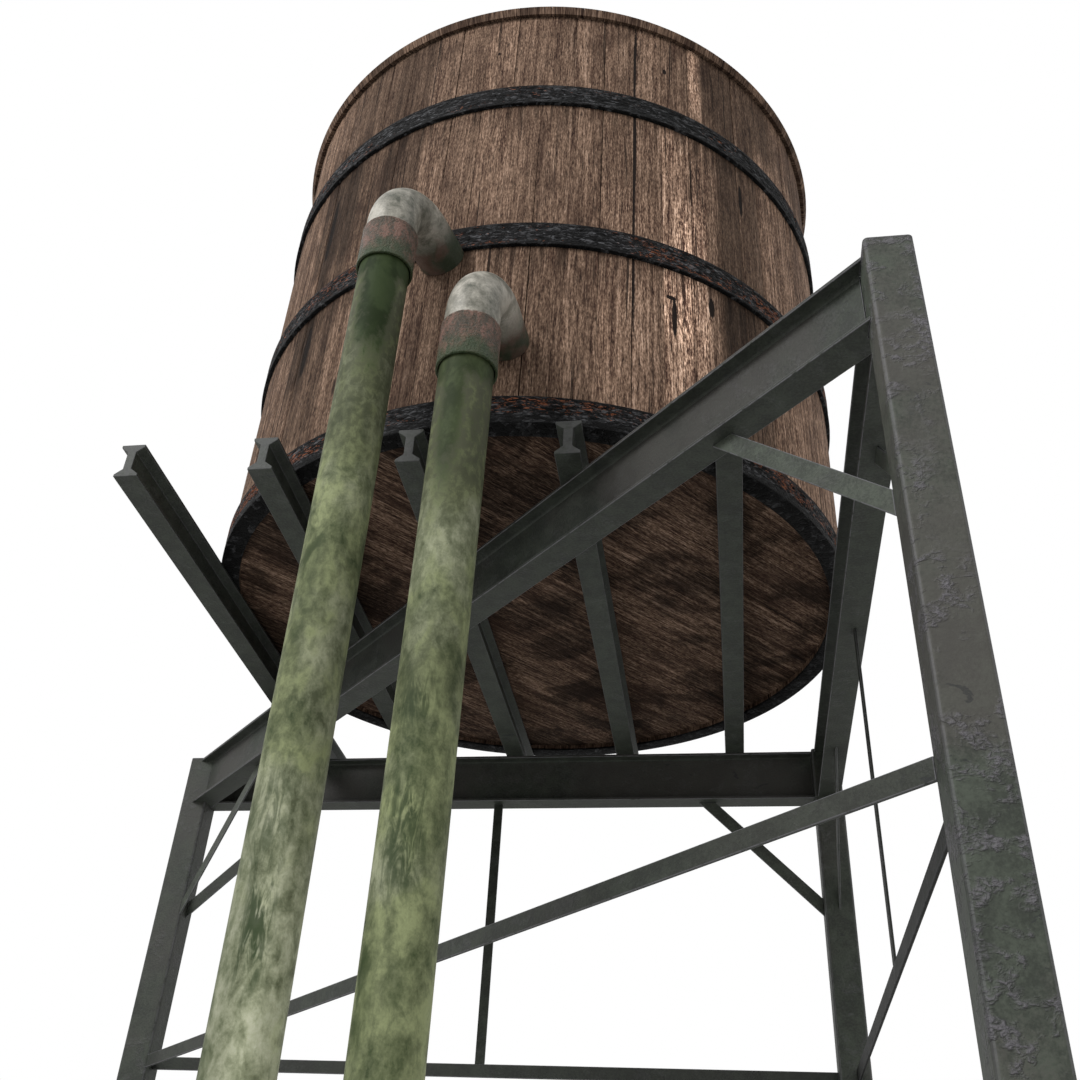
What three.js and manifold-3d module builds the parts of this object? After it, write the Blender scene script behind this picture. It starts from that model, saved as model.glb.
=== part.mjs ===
// Timber water tower on three steel legs, with two pipes rising to the tank wall.
// Millimetres, Z up, X along the back beam, Y along the joists. Origin: middle of the base at ground level.

import * as THREE from 'three';
import { mergeVertices } from 'three/addons/utils/BufferGeometryUtils.js';
import Module from 'manifold-3d';

const wasm = await Module();
wasm.setup();

// Sizes that set the tower
const GAP = 0.3;
const CORNER_X = 2178.5;
const CORNER_Y = 2054;
const LEG_SPACING = 4357;
const BEAM_UNDERSIDE_Z = 4740;
const BEAM_DEPTH = 328;
const JOIST_DEPTH = 196;
const BEAM_TOP_Z = BEAM_UNDERSIDE_Z + BEAM_DEPTH;
const JOIST_TOP_Z = BEAM_TOP_Z + JOIST_DEPTH;
const TANK_X = 411;
const TANK_Y = 577;
const TANK_HEIGHT = 3445;

// Legs and their base plates
const LEG_WIDTH = 180;
const LEG_WALL = 10;
const LEG_CORNER_RADIUS = 18;
const LEG_ABOVE_BEAM = 12;
const PLATE_SIDE = 300;
const PLATE_THICKNESS = 25;

// Rolled beams and joists
const BEAM_WIDTH = 143;
const BEAM_FLANGE = 16;
const BEAM_WEB = 14;
const BEAM_FILLET = 12;
const JOIST_WIDTH = 123;
const JOIST_WEB = 44;
const JOIST_TIP = 15;
const JOIST_ROOT = 46;
const JOIST_REACH = 1830;
const JOIST_OFFSETS = [-1738, -1050, -322, 438, 1176];
const SHORT_JOIST_REACH = 2240;
const SHORT_JOIST_SLOPE = 150;

// Flat bars of the frame
const GIRT_TOP_Z = 3091;
const DIAGONAL_GIRT_TOP_Z = 3084;
const GIRT_DEPTH = 75;
const GIRT_THICKNESS = 15;
const POST_WIDTH = 60;
const BAR_THICKNESS = 12;
const KNEE_WIDTH = 78;
const KNEE_REACH = 772;
const BACK_LEFT_KNEE_REACH = 818;
const BACK_RIGHT_KNEE_REACH = 786;
const DIAGONAL_LEFT_KNEE = { reach: 1010, drop: 833 };
const DIAGONAL_RIGHT_KNEE = { reach: 884, drop: 875 };

// Tank
const WALL_OUTER = 1827;
const WALL_INNER = 1744;
const GROOVE_DEPTH = 20;
const BOTTOM_RECESS = 36;
const BOTTOM_THICKNESS = 60;
const HOOP_OUTER = 1851;
const HOOP_HEIGHT = 170;
const HOOP_BEVEL = 6;
const HOOP_FOOT = 12;
const EAVE_RADIUS = 1875;
const ROOF_SLOPE_DEG = 24;
const ROOF_THICKNESS = 53;
const ROOF_SEAT = 20;
const PEAK_RADIUS = 170;
const PEAK_HEIGHT = 14;
const ROUND_STEPS = 80;

// Pipes and elbows
const PIPE_RADIUS = 120.5;
const PIPE_WALL = 8;
const SOCKET_RADIUS = 137;
const SOCKET_LENGTH = 260;
const SOCKET_ROUND = 10;
const SOCKET_STOP = 60;
const MOUTH_FLARE = 6;
const ELBOW_RADIUS = 126;
const ELBOW_RISE = 58;
const ARM_LENGTH = 400;
const ELBOW_STEPS = 20;
const PIPE_STEPS = 32;

const colours = {
  wood: { color: 0x6e5a4e, roughness: 0.85, metalness: 0 },
  bottomWood: { color: 0x5a4a40, roughness: 0.9, metalness: 0 },
  hoop: { color: 0x282a2d, roughness: 0.8, metalness: 0.3 },
  steel: { color: 0x3c4238, roughness: 0.6, metalness: 0.2 },
  pipe: { color: 0x7a8a64, roughness: 0.7, metalness: 0.1 },
  elbow: { color: 0xb4b4a8, roughness: 0.65, metalness: 0.1 },
};

const tower = new THREE.Group();
tower.name = 'water_tower';

function addPart(name, geometry, look) {
  const mesh = new THREE.Mesh(geometry, new THREE.MeshStandardMaterial(colours[look]));
  mesh.name = name;
  tower.add(mesh);
}

// Solid joining and cutting
function toSolid(geometry) {
  const bare = geometry.clone();
  bare.deleteAttribute('normal');
  bare.deleteAttribute('uv');
  const welded = mergeVertices(bare, 1e-4);
  const vertProperties = new Float32Array(welded.attributes.position.array);
  const triVerts = new Uint32Array(welded.index.array);
  return new wasm.Manifold(new wasm.Mesh({ numProp: 3, vertProperties, triVerts }));
}

function toGeometry(solid) {
  const mesh = solid.getMesh();
  const geometry = new THREE.BufferGeometry();
  geometry.setAttribute('position', new THREE.BufferAttribute(new Float32Array(mesh.vertProperties), 3));
  geometry.setIndex(new THREE.BufferAttribute(new Uint32Array(mesh.triVerts), 1));
  geometry.computeVertexNormals();
  return geometry;
}

function cut(geometry, ...cutters) {
  let solid = toSolid(geometry);
  for (const cutter of cutters) {
    solid = solid.subtract(toSolid(cutter));
  }
  return toGeometry(solid);
}

function box(x0, x1, y0, y1, z0, z1) {
  const geometry = new THREE.BoxGeometry(x1 - x0, y1 - y0, z1 - z0);
  geometry.translate((x0 + x1) / 2, (y0 + y1) / 2, (z0 + z1) / 2);
  return geometry;
}

// Shapes in plan and in section
function roundedSquare(side, radius) {
  const half = side / 2;
  const shape = new THREE.Shape();
  shape.moveTo(half, -half + radius);
  shape.lineTo(half, half - radius);
  shape.absarc(half - radius, half - radius, radius, 0, Math.PI / 2);
  shape.lineTo(-half + radius, half);
  shape.absarc(-half + radius, half - radius, radius, Math.PI / 2, Math.PI);
  shape.lineTo(-half, -half + radius);
  shape.absarc(-half + radius, -half + radius, radius, Math.PI, 1.5 * Math.PI);
  shape.lineTo(half - radius, -half);
  shape.absarc(half - radius, -half + radius, radius, 1.5 * Math.PI, 2 * Math.PI);
  return shape;
}

function polygon(points) {
  const shape = new THREE.Shape();
  shape.moveTo(points[0][0], points[0][1]);
  for (const [x, y] of points.slice(1)) {
    shape.lineTo(x, y);
  }
  shape.closePath();
  return shape;
}

function extrude(shape, length, curveSegments = 2) {
  return new THREE.ExtrudeGeometry(shape, { depth: length, bevelEnabled: false, curveSegments });
}

// A section drawn across and up is turned to run along +X from the start point at the given heading
function alongGround(geometry, x, y, z, headingDeg) {
  geometry.rotateX(Math.PI / 2);
  geometry.rotateZ(Math.PI / 2);
  geometry.rotateZ(THREE.MathUtils.degToRad(headingDeg));
  geometry.translate(x, y, z);
  return geometry;
}

function beamSection() {
  const half = BEAM_WIDTH / 2;
  const web = BEAM_WEB / 2;
  const top = BEAM_DEPTH;
  const right = [
    [half, 0], [half, BEAM_FLANGE], [web + BEAM_FILLET, BEAM_FLANGE], [web, BEAM_FLANGE + BEAM_FILLET],
    [web, top - BEAM_FLANGE - BEAM_FILLET], [web + BEAM_FILLET, top - BEAM_FLANGE],
    [half, top - BEAM_FLANGE], [half, top],
  ];
  const left = right.map(([x, y]) => [-x, y]).reverse();
  return polygon([...right, ...left]);
}

function joistSection() {
  const half = JOIST_WIDTH / 2;
  const web = JOIST_WEB / 2;
  const top = JOIST_DEPTH;
  const right = [
    [half, 0], [half, JOIST_TIP], [web, JOIST_ROOT],
    [web, top - JOIST_ROOT], [half, top - JOIST_TIP], [half, top],
  ];
  const left = right.map(([x, y]) => [-x, y]).reverse();
  return polygon([...right, ...left]);
}

// Legs stand at the ends of a right-angled triangle
const LEGS = {
  left: [CORNER_X - LEG_SPACING, CORNER_Y],
  back_right: [CORNER_X, CORNER_Y],
  front_right: [CORNER_X, CORNER_Y - LEG_SPACING],
};

function legOutline(extra = 0) {
  return roundedSquare(LEG_WIDTH + 2 * extra, LEG_CORNER_RADIUS + extra);
}

function addLegs() {
  const top = BEAM_TOP_Z + LEG_ABOVE_BEAM;
  for (const [name, [x, y]] of Object.entries(LEGS)) {
    const shape = legOutline();
    shape.holes.push(legOutline(-LEG_WALL));
    const start = PLATE_THICKNESS + GAP;
    const leg = extrude(shape, top - LEG_WALL - GAP - start);
    leg.translate(x, y, start);
    addPart(`leg_${name}`, leg, 'steel');

    const cap = extrude(legOutline(), LEG_WALL);
    cap.translate(x, y, top - LEG_WALL);
    addPart(`leg_cap_${name}`, cap, 'steel');

    const half = PLATE_SIDE / 2;
    addPart(`base_plate_${name}`, box(x - half, x + half, y - half, y + half, 0, PLATE_THICKNESS), 'steel');
  }
}

function legCutter(name) {
  const [x, y] = LEGS[name];
  const half = LEG_WIDTH / 2 + GAP;
  return box(x - half, x + half, y - half, y + half, BEAM_UNDERSIDE_Z - 100, BEAM_TOP_Z + 100);
}

// Beams: the diagonal one is cut to fit the corners of its legs, and the others are cut back along it
const DIAGONAL_LENGTH = LEG_SPACING * Math.SQRT2;

function diagonalStrip(halfWidth) {
  const strip = new THREE.BoxGeometry(DIAGONAL_LENGTH, 2 * halfWidth, BEAM_DEPTH + 200);
  strip.rotateZ(-Math.PI / 4);
  strip.translate(CORNER_X - LEG_SPACING / 2, CORNER_Y - LEG_SPACING / 2, BEAM_UNDERSIDE_Z + BEAM_DEPTH / 2);
  return strip;
}

function addBeams() {
  const face = LEG_WIDTH / 2 + GAP;
  const inset = (LEG_WIDTH / 2) * Math.SQRT2 - BEAM_WIDTH / 2 - 20;
  const [leftX, leftY] = LEGS.left;
  const [frontX, frontY] = LEGS.front_right;
  const step = inset / Math.SQRT2;

  const diagonal = alongGround(
    extrude(beamSection(), DIAGONAL_LENGTH - 2 * inset), leftX + step, leftY - step, BEAM_UNDERSIDE_Z, -45);
  addPart('beam_diagonal', cut(diagonal, legCutter('left'), legCutter('front_right')), 'steel');

  const strip = diagonalStrip(BEAM_WIDTH / 2 + GAP);
  const back = alongGround(
    extrude(beamSection(), LEG_SPACING - 2 * face), leftX + face, leftY, BEAM_UNDERSIDE_Z, 0);
  addPart('beam_back', cut(back, strip), 'steel');

  const right = alongGround(
    extrude(beamSection(), LEG_SPACING - 2 * face), frontX, frontY + face, BEAM_UNDERSIDE_Z, 90);
  addPart('beam_right', cut(right, strip), 'steel');
}

function addJoists() {
  const start = BEAM_TOP_Z + GAP;
  JOIST_OFFSETS.forEach((offset, index) => {
    const last = index === JOIST_OFFSETS.length - 1;
    const near = last ? SHORT_JOIST_REACH : JOIST_REACH;
    const x = TANK_X + offset;
    let joist = alongGround(
      extrude(joistSection(), near + JOIST_REACH), x, TANK_Y - near, start, 90);
    if (last) {
      const end = TANK_Y - near;
      const slope = polygon([[end - 10, -1], [end, -1], [end + SHORT_JOIST_SLOPE, JOIST_DEPTH + 1],
        [end - 10, JOIST_DEPTH + 1]]);
      const cutter = alongGround(extrude(slope, JOIST_WIDTH + 20), x - JOIST_WIDTH / 2 - 10, 0, start, 0);
      joist = cut(joist, cutter);
    }
    addPart(`joist_${index + 1}`, joist, 'steel');
  });
}

// Flat bars: each side of the triangle has a girt, a post and two knee braces in its own upright plane.
// Aside moves the girt and post out of that plane, and postShift moves the post along it.
// A knee brace runs from its drop below the beam, at the leg's middle line, to its reach along the beam.
const DIAGONAL_CORNER = (LEG_WIDTH / 2 - LEG_CORNER_RADIUS) * Math.SQRT2 + LEG_CORNER_RADIUS + GAP;

const evenKnee = (reach) => ({ reach, drop: reach });
const EVEN_KNEE = evenKnee(KNEE_REACH);
const BACK_KNEES = [evenKnee(BACK_LEFT_KNEE_REACH), evenKnee(BACK_RIGHT_KNEE_REACH)];

const SIDES = {
  diagonal: { from: LEGS.left, heading: -45, length: DIAGONAL_LENGTH, start: DIAGONAL_CORNER,
    knees: [DIAGONAL_LEFT_KNEE, DIAGONAL_RIGHT_KNEE], girtTop: DIAGONAL_GIRT_TOP_Z, aside: 0, postShift: 0 },
  back: { from: LEGS.left, heading: 0, length: LEG_SPACING, start: LEG_WIDTH / 2 + GAP,
    knees: BACK_KNEES, girtTop: GIRT_TOP_Z, aside: 0, postShift: -16 },
  right: { from: LEGS.front_right, heading: 90, length: LEG_SPACING, start: LEG_WIDTH / 2 + GAP,
    knees: [EVEN_KNEE, EVEN_KNEE], girtTop: GIRT_TOP_Z, aside: -12, postShift: 0 },
};

function uprightBar(side, points, thickness, aside = 0) {
  const bar = extrude(polygon(points), thickness);
  bar.translate(0, 0, -thickness / 2 - aside);
  bar.rotateX(Math.PI / 2);
  bar.rotateZ(THREE.MathUtils.degToRad(side.heading));
  bar.translate(side.from[0], side.from[1], 0);
  return bar;
}

function kneeOutline(knee, s) {
  const top = BEAM_UNDERSIDE_Z - GAP;
  const slope = knee.drop / knee.reach;
  const half = (KNEE_WIDTH / 2) * Math.hypot(1, slope);
  const centreAt = (along) => BEAM_UNDERSIDE_Z - knee.drop + slope * along;
  const topUpper = (top - half - centreAt(0)) / slope;
  const topLower = (top + half - centreAt(0)) / slope;
  return [[s, centreAt(s) - half], [topLower, top], [topUpper, top], [s, centreAt(s) + half]];
}

function addFlatBars() {
  for (const [name, side] of Object.entries(SIDES)) {
    const end = side.length - side.start;
    const girtTop = side.girtTop;
    const girtBottom = girtTop - GIRT_DEPTH;
    addPart(`girt_${name}`, uprightBar(side, [[side.start, girtBottom], [end, girtBottom],
      [end, girtTop], [side.start, girtTop]], GIRT_THICKNESS, side.aside), 'steel');

    const postLeft = side.length / 2 + side.postShift - POST_WIDTH / 2;
    const postRight = postLeft + POST_WIDTH;
    const postFoot = girtTop + GAP;
    const postTop = BEAM_UNDERSIDE_Z - GAP;
    addPart(`post_${name}`, uprightBar(side, [[postLeft, postFoot], [postRight, postFoot],
      [postRight, postTop], [postLeft, postTop]], BAR_THICKNESS, side.aside), 'steel');

    const [nearKnee, farKnee] = side.knees;
    const near = kneeOutline(nearKnee, side.start);
    const far = kneeOutline(farKnee, side.start).map(([s, z]) => [side.length - s, z]).reverse();
    addPart(`knee_${name}_first`, uprightBar(side, near, BAR_THICKNESS), 'steel');
    addPart(`knee_${name}_second`, uprightBar(side, far, BAR_THICKNESS), 'steel');
  }
}

// Turned rings of the tank
function ring(points, steps = ROUND_STEPS) {
  const profile = [...points, points[0]].map(([r, z]) => new THREE.Vector2(r, z));
  const geometry = new THREE.LatheGeometry(profile, steps);
  geometry.rotateX(Math.PI / 2);
  geometry.translate(TANK_X, TANK_Y, 0);
  return geometry;
}

function disc(points, steps = ROUND_STEPS) {
  const geometry = new THREE.LatheGeometry(points.map(([r, z]) => new THREE.Vector2(r, z)), steps);
  geometry.rotateX(Math.PI / 2);
  geometry.translate(TANK_X, TANK_Y, 0);
  return geometry;
}

// The tank stands on the foot of its lower hoop, which turns in under the ends of the staves
const TANK_BASE_Z = JOIST_TOP_Z + GAP;
const WALL_BASE_Z = TANK_BASE_Z + HOOP_FOOT + GAP;
const WALL_TOP_Z = TANK_BASE_Z + TANK_HEIGHT;
const HOOP_TOPS = { middle: 1429, upper: 2677 };

function addTank() {
  const bottom = TANK_BASE_Z + BOTTOM_RECESS;
  const grooveLow = bottom - GAP;
  const grooveHigh = bottom + BOTTOM_THICKNESS + GAP;
  const groove = WALL_INNER + GROOVE_DEPTH;
  addPart('tank_wall', ring([
    [WALL_INNER, WALL_BASE_Z], [WALL_OUTER, WALL_BASE_Z],
    [WALL_OUTER, WALL_TOP_Z], [WALL_INNER, WALL_TOP_Z],
    [WALL_INNER, grooveHigh], [groove, grooveHigh],
    [groove, grooveLow], [WALL_INNER, grooveLow],
  ]), 'wood');
  addPart('tank_bottom', disc([
    [0, bottom], [groove - GAP, bottom],
    [groove - GAP, bottom + BOTTOM_THICKNESS], [0, bottom + BOTTOM_THICKNESS],
  ]), 'bottomWood');
  const inner = WALL_OUTER + GAP;
  const lowerTop = TANK_BASE_Z + HOOP_HEIGHT;
  addPart('hoop_lower', ring([
    [WALL_INNER, TANK_BASE_Z], [HOOP_OUTER - HOOP_BEVEL, TANK_BASE_Z],
    [HOOP_OUTER, TANK_BASE_Z + HOOP_BEVEL], [HOOP_OUTER, lowerTop - HOOP_BEVEL],
    [HOOP_OUTER - HOOP_BEVEL, lowerTop], [inner, lowerTop],
    [inner, TANK_BASE_Z + HOOP_FOOT], [WALL_INNER, TANK_BASE_Z + HOOP_FOOT],
  ]), 'hoop');
  for (const [name, top] of Object.entries(HOOP_TOPS)) {
    const high = TANK_BASE_Z + top;
    const low = high - HOOP_HEIGHT;
    addPart(`hoop_${name}`, ring([
      [inner, low], [HOOP_OUTER - HOOP_BEVEL, low],
      [HOOP_OUTER, low + HOOP_BEVEL], [HOOP_OUTER, high - HOOP_BEVEL],
      [HOOP_OUTER - HOOP_BEVEL, high], [inner, high],
    ]), 'hoop');
  }
}

// The roof boards bear on the ends of the staves and run on past the wall, with ends cut square to the slope
function addRoof() {
  const base = WALL_TOP_Z + GAP;
  const slope = THREE.MathUtils.degToRad(ROOF_SLOPE_DEG);
  const inner = WALL_INNER - ROOF_SEAT;
  const eaveFoot = EAVE_RADIUS - ROOF_THICKNESS * Math.sin(slope);
  const underAt = (r) => base + (WALL_OUTER - r) * Math.tan(slope);
  const topAt = (r) => underAt(r) + ROOF_THICKNESS / Math.cos(slope);
  addPart('roof', disc([
    [0, underAt(0)], [inner, underAt(inner)], [inner, base], [WALL_OUTER, base],
    [eaveFoot, underAt(eaveFoot)], [EAVE_RADIUS, topAt(EAVE_RADIUS)],
    [PEAK_RADIUS, topAt(PEAK_RADIUS)], [PEAK_RADIUS, topAt(PEAK_RADIUS) + PEAK_HEIGHT],
    [0, topAt(0) + PEAK_HEIGHT],
  ]), 'wood');
}

// Pipes rise from the ground; each ends in an elbow that turns it to the tank wall
const PIPES = {
  left: { x: -11, y: -1702, mouthZ: 5874, bend: 306, headingDeg: 76 },
  right: { x: 467.5, y: -1755, mouthZ: 5130, bend: 362, headingDeg: 86 },
};

function turned(points, steps = PIPE_STEPS) {
  const profile = [...points, points[0]].map(([r, z]) => new THREE.Vector2(r, z));
  const geometry = new THREE.LatheGeometry(profile, steps);
  geometry.rotateX(Math.PI / 2);
  return geometry;
}

function turnedSolid(points, steps = PIPE_STEPS) {
  const geometry = new THREE.LatheGeometry(points.map(([r, z]) => new THREE.Vector2(r, z)), steps);
  geometry.rotateX(Math.PI / 2);
  return geometry;
}

// A run straight up, a quarter bend and a run straight out
class ElbowPath extends THREE.Curve {
  constructor(rise, bend, run) {
    super();
    this.rise = rise;
    this.bend = bend;
    this.run = run;
    this.total = rise + bend * Math.PI / 2 + run;
  }

  getPoint(t) {
    const s = t * this.total;
    const arc = this.bend * Math.PI / 2;
    if (s <= this.rise) {
      return new THREE.Vector3(0, 0, s - this.rise);
    }
    if (s <= this.rise + arc) {
      const a = (s - this.rise) / this.bend;
      return new THREE.Vector3(this.bend * (1 - Math.cos(a)), 0, this.bend * Math.sin(a));
    }
    return new THREE.Vector3(this.bend + s - this.rise - arc, 0, this.bend);
  }
}

function sweptRod(path, radius) {
  const shape = new THREE.Shape();
  shape.absarc(0, 0, radius, 0, 2 * Math.PI);
  return new THREE.ExtrudeGeometry(shape,
    { extrudePath: path, steps: ELBOW_STEPS, bevelEnabled: false, curveSegments: PIPE_STEPS / 2 });
}

function socket(length) {
  return turnedSolid([
    [0, 0], [SOCKET_RADIUS - SOCKET_ROUND, 0], [SOCKET_RADIUS, SOCKET_ROUND],
    [SOCKET_RADIUS, length - SOCKET_ROUND], [SOCKET_RADIUS - SOCKET_ROUND, length], [0, length],
  ]);
}

// The elbow is made at its bend's start, heading along +X
function elbowSolid(bend) {
  const bore = PIPE_RADIUS - PIPE_WALL;
  const collarTop = -ELBOW_RISE;
  const mouthZ = collarTop - SOCKET_LENGTH;
  const stopZ = collarTop - SOCKET_STOP;
  const collar = socket(SOCKET_LENGTH);
  collar.translate(0, 0, mouthZ);
  const path = new ElbowPath(ELBOW_RISE + SOCKET_ROUND * 2, bend, ARM_LENGTH);
  const body = toSolid(sweptRod(path, ELBOW_RADIUS));
  const mouth = turnedSolid([
    [0, mouthZ - 1], [PIPE_RADIUS + MOUTH_FLARE, mouthZ - 1],
    [PIPE_RADIUS + GAP, mouthZ + 2 * MOUTH_FLARE], [PIPE_RADIUS + GAP, stopZ], [0, stopZ],
  ]);
  const inside = sweptRod(new ElbowPath(-stopZ + 20, bend, 2 * ARM_LENGTH), bore);
  return body.add(toSolid(collar)).subtract(toSolid(mouth)).subtract(toSolid(inside));
}

function addPipes() {
  const bore = PIPE_RADIUS - PIPE_WALL;
  const hoopHigh = TANK_BASE_Z + HOOP_TOPS.middle + GAP;
  const hoopLow = hoopHigh - HOOP_HEIGHT - 2 * GAP;
  const wall = WALL_OUTER + GAP;
  const hoop = HOOP_OUTER + GAP;
  const tankCutter = disc([
    [0, 0], [wall, 0], [wall, hoopLow], [hoop, hoopLow],
    [hoop, hoopHigh], [wall, hoopHigh], [wall, WALL_TOP_Z], [0, WALL_TOP_Z],
  ]);
  for (const [name, pipe] of Object.entries(PIPES)) {
    const collarTop = pipe.mouthZ + SOCKET_LENGTH;
    const pipeTop = collarTop - SOCKET_STOP - GAP;
    const tube = turned([[bore, 0], [PIPE_RADIUS, 0], [PIPE_RADIUS, pipeTop], [bore, pipeTop]]);
    tube.rotateZ(THREE.MathUtils.degToRad(pipe.headingDeg));
    tube.translate(pipe.x, pipe.y, 0);
    addPart(`pipe_${name}`, tube, 'pipe');

    const bendStart = collarTop + ELBOW_RISE;
    const turnedElbow = elbowSolid(pipe.bend).rotate([0, 0, pipe.headingDeg]);
    const elbow = turnedElbow.translate([pipe.x, pipe.y, bendStart]);
    addPart(`elbow_${name}`, toGeometry(elbow.subtract(toSolid(tankCutter))), 'elbow');
  }
}

addLegs();
addBeams();
addJoists();
addFlatBars();
addTank();
addRoof();
addPipes();

export default tower;
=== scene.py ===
"""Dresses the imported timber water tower: staves, hoops, boards, painted steel and mossy pipes."""
import math

import bmesh
import bpy
from mathutils import Matrix, Vector, noise


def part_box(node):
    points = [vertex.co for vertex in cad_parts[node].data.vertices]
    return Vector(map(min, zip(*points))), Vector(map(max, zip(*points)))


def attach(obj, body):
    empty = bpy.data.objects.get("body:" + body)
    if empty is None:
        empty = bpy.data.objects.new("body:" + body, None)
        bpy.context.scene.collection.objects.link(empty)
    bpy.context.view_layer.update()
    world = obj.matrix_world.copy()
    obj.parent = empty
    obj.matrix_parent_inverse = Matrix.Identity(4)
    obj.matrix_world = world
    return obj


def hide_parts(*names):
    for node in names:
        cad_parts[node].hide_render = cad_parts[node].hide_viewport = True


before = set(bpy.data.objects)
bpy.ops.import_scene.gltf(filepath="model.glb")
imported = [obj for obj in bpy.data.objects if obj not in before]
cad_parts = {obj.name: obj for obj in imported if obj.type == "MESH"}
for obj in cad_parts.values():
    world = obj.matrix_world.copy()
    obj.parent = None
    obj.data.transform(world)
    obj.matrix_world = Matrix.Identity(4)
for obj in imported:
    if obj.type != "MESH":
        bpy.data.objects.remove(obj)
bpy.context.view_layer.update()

bl_info = {
    "name": "Timber Water Tower",
    "version": (1, 0, 0),
    "blender": (4, 5, 0),
    "location": "View3D > Sidebar > Water Tower",
    "description": "Dresses a packed timber water tower in staves, hoops, painted steel and mossy pipes",
    "category": "Object",
}

BODY = "root"


def middle(node):
    low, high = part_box(node)
    return (Vector(low) + Vector(high)) / 2


def half_width(node):
    low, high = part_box(node)
    return (high[0] - low[0]) / 2


def heights(node):
    low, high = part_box(node)
    return low[2], high[2]


TANK = middle("tank_wall")
WALL_LOW, WALL_HIGH = heights("tank_wall")
WALL_RADIUS = half_width("tank_wall")
ROOF_HIGH = heights("roof")[1]
EAVE_RADIUS = half_width("roof")

# How far dressed faces stay inside the solid's, and the gaps behind a hoop and at an elbow's ends
INSET = 0.0005
HOOP_GAP = 0.0006
ELBOW_GAP = 0.0008

# The pipes' wall, and how many points go round a pipe, an elbow or the roof's cap
PIPE_WALL = 0.008
ROUND_STEPS = 96

STEEL_NODES = sorted(
    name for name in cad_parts
    if name.split("_")[0] in ("leg", "base", "beam", "joist", "girt", "post", "knee")
)

# Heights between which algae is thicker or, with a negative weight, thinner
GREEN_ZONES = {
    "left": [(3.35, 6.2, 0.14), (0.0, 3.25, -0.16)],
    "right": [(4.35, 5.4, 0.20), (3.98, 4.35, -0.02), (3.05, 3.98, 0.22), (2.74, 3.05, -0.12),
              (0.0, 2.74, 0.30)],
}

# Dark green bands, those that start at 1.4 m being painted shade down the pipe's left side: lower and upper
# height, place round the pipe, half width and darkness
DARK_BANDS = {
    "left": [(3.75, 4.30, 0.050, 0.060, 0.80), (1.4, 3.1, 0.085, 0.090, 0.50)],
    "right": [(2.45, 2.70, 0.070, 0.055, 0.70), (1.4, 2.5, 0.085, 0.070, 0.40)],
}

# Where a pipe is darker: lower and upper height, and how much
DARKER_ZONES = {
    "left": [(4.70, 5.95, 0.72), (3.50, 4.32, 0.24)],
    "right": [(4.28, 5.20, 0.80), (3.72, 4.28, 0.14), (3.45, 3.72, 0.46)],
}

# The dark streak under each elbow, with painted shade all round just under the collar: its place round the
# pipe, half width and darkness
MOUTH_SHADE = {"left": (-0.030, 0.070, 0.95), "right": (0.018, 0.035, 0.75)}

# How much brighter the lower part of each pipe is on the side away from the legs' shade
SUNLIT = {"left": 0.50, "right": 0.12}

# Thin dark wisps of algae, listed as the dark bands are
WISPS = {
    "left": [(2.90, 3.25, 0.0, 0.11, 0.55), (2.52, 2.90, -0.015, 0.09, 0.90)],
    "right": [(3.38, 3.58, 0.0, 0.12, 0.80), (2.80, 3.20, 0.0, 0.13, 0.80)],
}

# How readily each hoop's face rusts, and the low part of the one that turns in under the staves
HOOP_RUST = {"hoop_lower": 0.06, "hoop_middle": 0.035, "hoop_upper": -0.025}
FOOT_RUST = -0.25

# Paint that is less rubbed and less shiny than the rest of the frame's
DULL = {"wear": 0.3, "specular": 0.12}

# How the frame's paint differs; a member's own name goes before the first word of it. The tones are lighter
# and darker copies of one paint: painted light and shade member by member
FRAME_PAINTS = {
    "base": {"brown": 0.65},
    "beam": {"brown": 0.65},
    "beam_back": {"tone": 1.12, "brown": 0.65},
    "leg": {"blister": 0.25, "tone": 1.42, "brown": 0.4},
    "leg_front_right": {"blister": 1.0, "tone": 1.76, "brown": 0.6},
    "leg_left": {"blister": 0.25, "tone": 1.18, "brown": 0.4},
    "knee": {"tone": 1.7},
    "knee_back_first": {"tone": 1.2},
    "knee_right_second": {"tone": 1.4},
    "girt": {"tone": 0.98},
    "girt_back": {"tone": 0.8},
    "girt_right": {"tone": 0.28, **DULL},
    "post": {"tone": 0.95, **DULL},
    "post_right": {"tone": 0.66, **DULL},
    "joist": {"tone": 1.12, "brown": 0.15, "wear": 0.35},
}

# The numbers that tell one stave's grain, or one pipe's, from the next are this far apart
OWN_STEP = 3.7
PIPE_STEP = 5.3

# What differs by chance from board to board: the lowest and highest value, and the seed
CHANCES = {
    "stave sink": (0.0, 0.0022, 3),
    "stave tone": (0.88, 1.08, 11),
    "bottom sink": (0.0, 0.003, 4),
    "bottom tone": (0.88, 1.1, 12),
    "roof sink": (0.0, 0.004, 6),
    "roof tone": (0.85, 1.12, 13),
}

# How far the long edges of a board stand back from its face
EDGE_SINK = 0.003
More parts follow.
